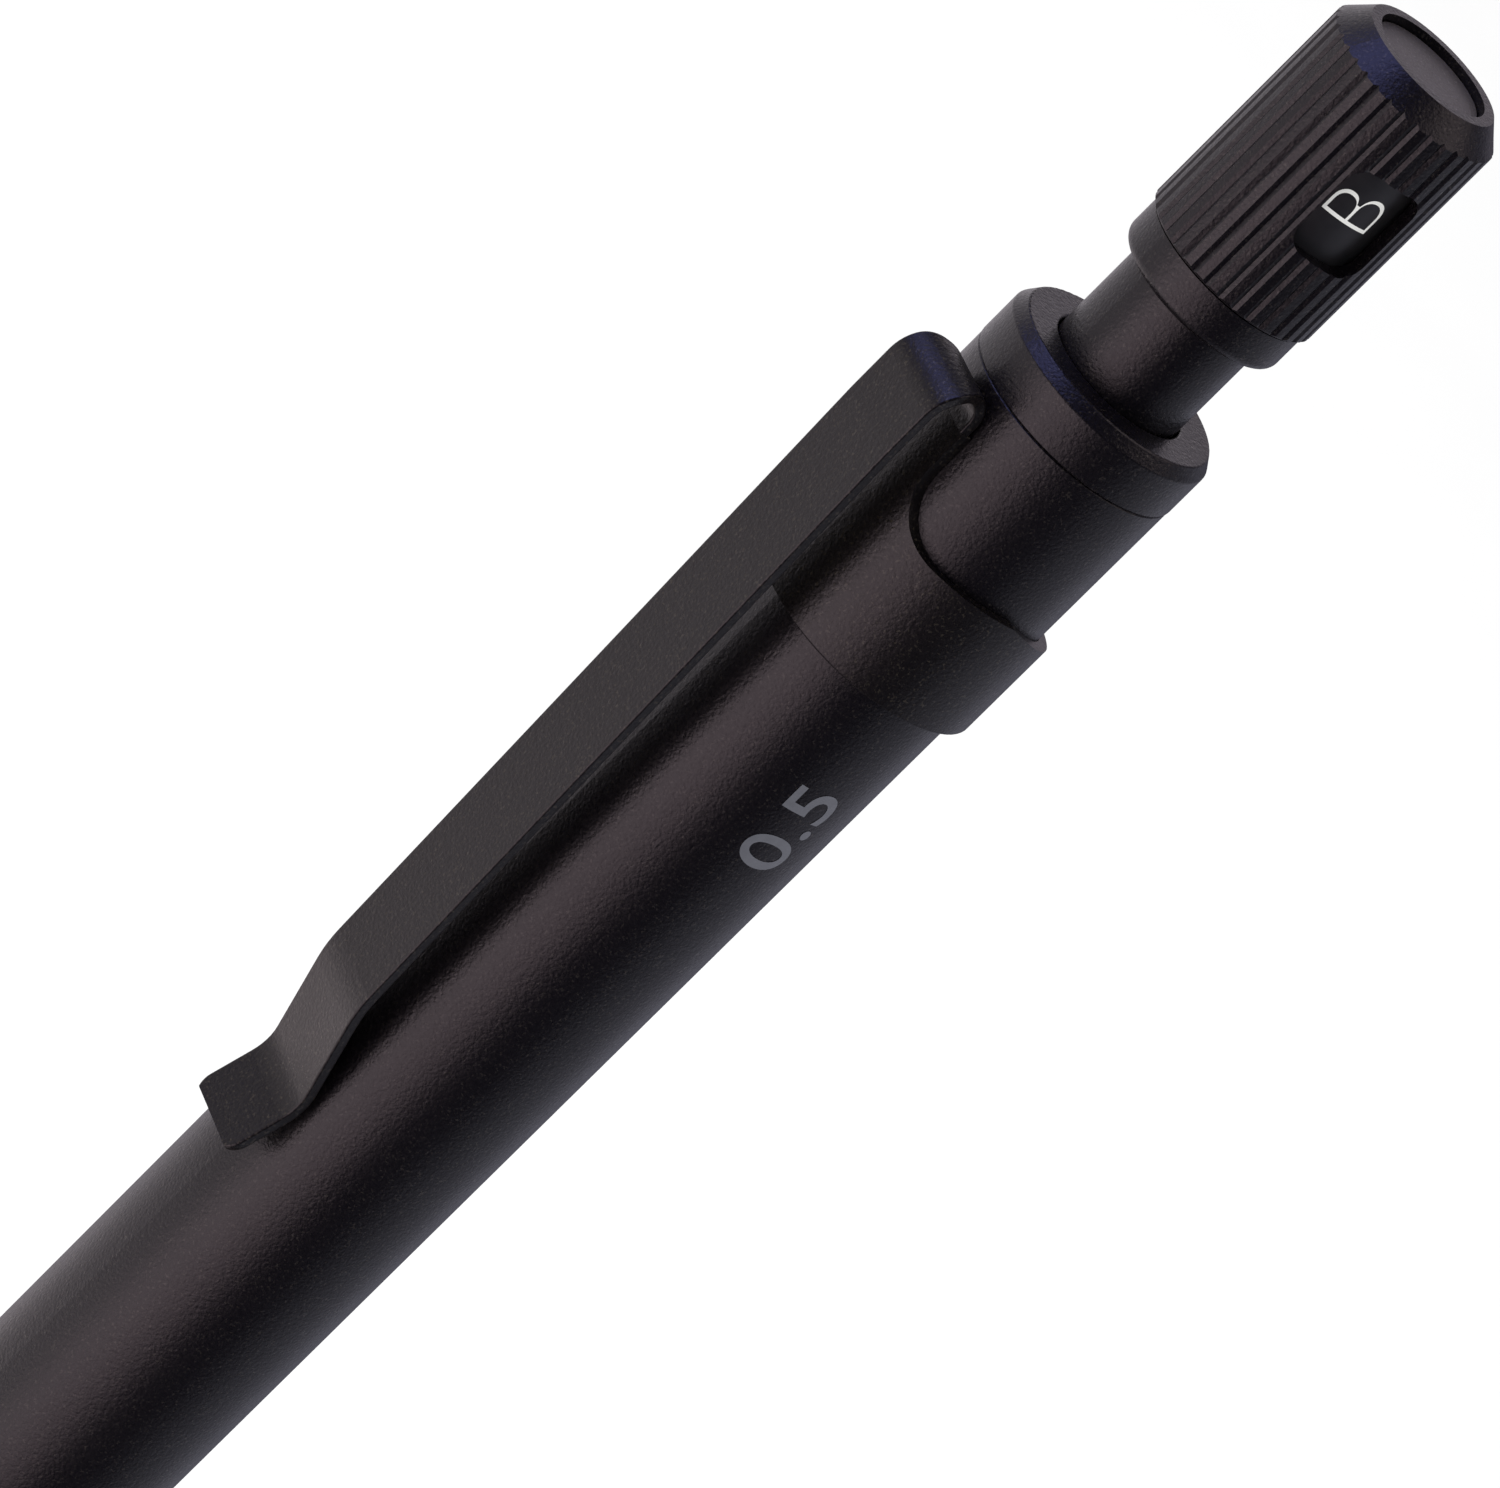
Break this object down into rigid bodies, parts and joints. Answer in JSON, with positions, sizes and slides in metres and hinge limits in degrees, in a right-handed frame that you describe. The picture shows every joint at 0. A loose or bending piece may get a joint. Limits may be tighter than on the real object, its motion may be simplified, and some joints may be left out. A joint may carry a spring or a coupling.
{
  "type": "mechanical pencil",
  "caption": "Slim metal drafting pencil with a sprung pocket clip, a ribbed push knob that turns to show a lead hardness letter, and a fixed steel lead pipe.",
  "frame": {"origin": "middle of the lead pipe's open end", "axes": "+Z along the pencil from the tip to the push knob, +X towards the clip"},
  "size_m": [0.0139, 0.0112, 0.1485],
  "materials": {
    "pipe_steel": "polished steel",
    "black_coat": "satin black",
    "retainer_rubber": "matt",
    "brass_bare": "turned",
    "guide_plastic": "moulded",
    "holder_plastic": "moulded",
    "spring_steel": "drawn wire",
    "lead": "graphite",
    "drum_plastic": "matt with white letters",
    "disc_metal": "fine matt",
    "clip_coat": "fine blasted dark"
  },
  "bodies": {
    "barrel_body": {"front_grip": "black_coat", "barrel_coupler": "brass_bare", "barrel": "black_coat", "end_collar": "black_coat", "chuck_guide": "guide_plastic", "clip_band": "clip_coat"},
    "clip": {"clip_arm": "clip_coat"},
    "nose": {"lead_pipe": "pipe_steel", "nose_cone": "black_coat", "lead_retainer": "retainer_rubber"},
    "plunger": {"chuck": "brass_bare", "chuck_holder": "holder_plastic", "lead_store": "holder_plastic", "push_tube": "black_coat", "spare_leads": "lead", "main_spring": "spring_steel"},
    "clutch": {"clutch_ring": "brass_bare"},
    "lead": {"working_lead": "lead"},
    "knob": {"knob_base": "black_coat", "indicator_drum": "drum_plastic", "detent_ring": "spring_steel", "cap_disc": "disc_metal"},
    "dial": {"indicator_shell": "black_coat"}
  },
  "joints": [
    {"name": "knock", "type": "slide", "parent": "barrel_body", "child": "plunger", "axis": [0, 0, -1], "range_m": [0, 0.003], "stiffness_N_per_m": 250, "springref_m": -0.008, "deforming": ["main_spring"]},
    {"name": "clutch_follow", "type": "slide", "parent": "barrel_body", "child": "clutch", "axis": [0, 0, -1], "range_m": [0, 0.0015]},
    {"name": "lead_feed", "type": "slide", "parent": "barrel_body", "child": "lead", "axis": [0, 0, -1], "range_m": [0, 0.006]},
    {"name": "nose_off", "type": "slide", "parent": "barrel_body", "child": "nose", "axis": [0, 0, -1], "range_m": [0, 0.008]},
    {"name": "clip_flex", "type": "hinge", "parent": "barrel_body", "child": "clip", "pos_m": [0.00534, 0, 0.1257], "axis": [0, -1, 0], "range_deg": [0, 4], "stiffness_Nm_per_rad": 3, "springref_deg": -1.15},
    {"name": "knob_pull", "type": "slide", "parent": "plunger", "child": "knob", "axis": [0, 0, 1], "range_m": [0, 0.014]},
    {"name": "dial_turn", "type": "hinge", "parent": "knob", "child": "dial", "pos_m": [0, 0, 0.142], "axis": [0, 0, 1], "continuous": true}
  ],
  "couplings": [
    {"joint": "clutch_follow", "follows": "knock", "ratio": 0.5}
  ]
}
